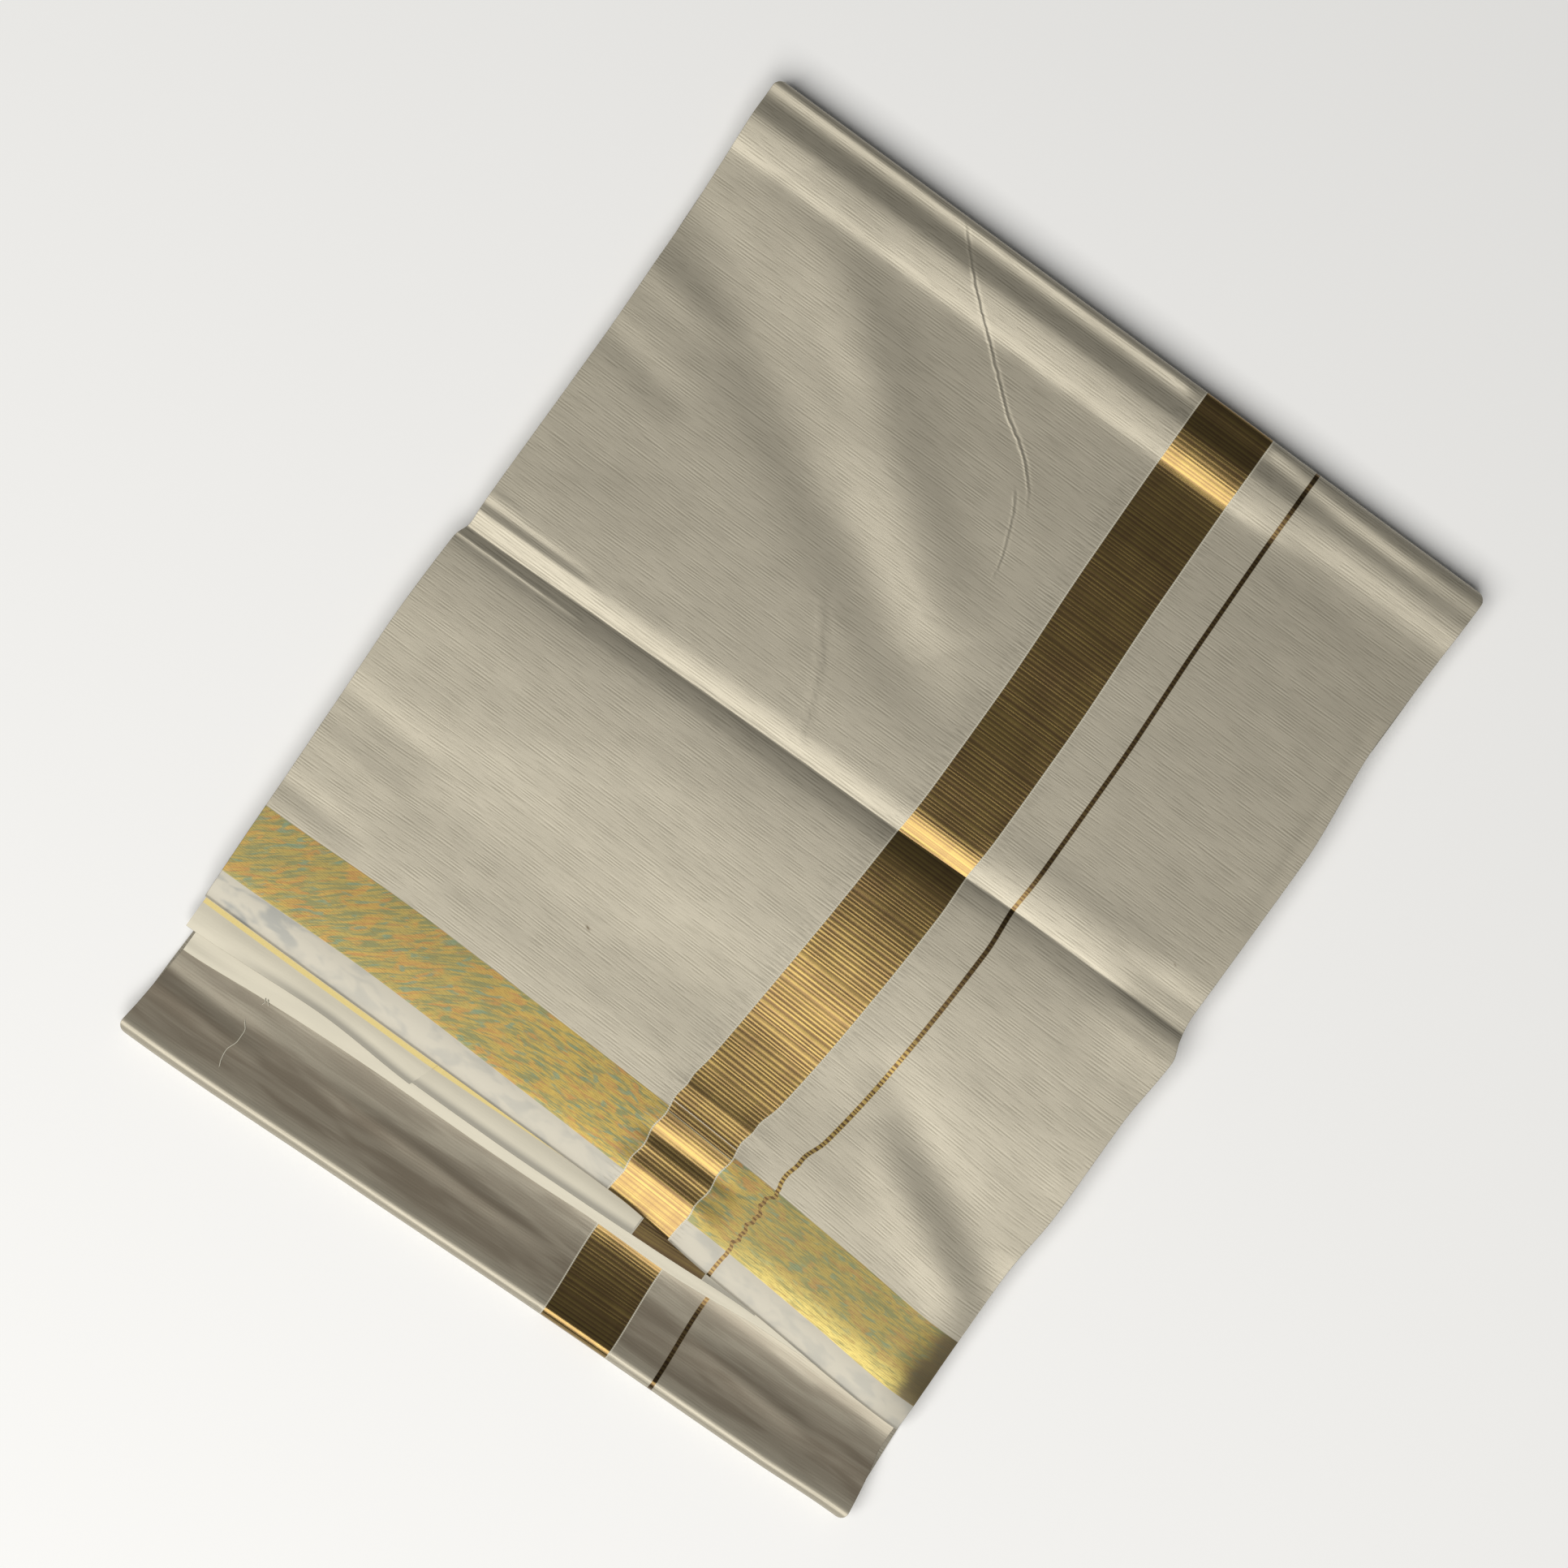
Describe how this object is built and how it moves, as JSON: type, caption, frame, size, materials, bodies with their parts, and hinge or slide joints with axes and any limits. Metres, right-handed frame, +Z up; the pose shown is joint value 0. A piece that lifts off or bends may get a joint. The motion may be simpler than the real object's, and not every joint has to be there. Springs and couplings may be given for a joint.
{
  "type": "folded dhoti cloth",
  "caption": "Long cream tissue cloth with woven gold border bands, folded to a flat rectangular bundle and laid down.",
  "frame": {"origin": "centre of the bundle's outline, on the surface that it lies on", "axes": "+Z up out of the top face, +Y down the length towards the top fold, +X across the width towards the bundle's right side, seen from above with the top fold away"},
  "size_m": [0.3272, 0.4186, 0.013],
  "materials": {
    "tissue_cloth": "fine tissue weave with a soft metallic sheen, gold thread borders",
    "tissue_cloth_inside": "edges of the folded layers, the same cloth in shade"
  },
  "bodies": {
    "root": {"top_panel": "tissue_cloth", "lower_panel": "tissue_cloth", "back_panel": "tissue_cloth", "end_layer_full": "tissue_cloth", "end_layer_left": "tissue_cloth", "end_layer_middle": "tissue_cloth", "hidden_layers": "tissue_cloth_inside"}
  },
  "joints": []
}
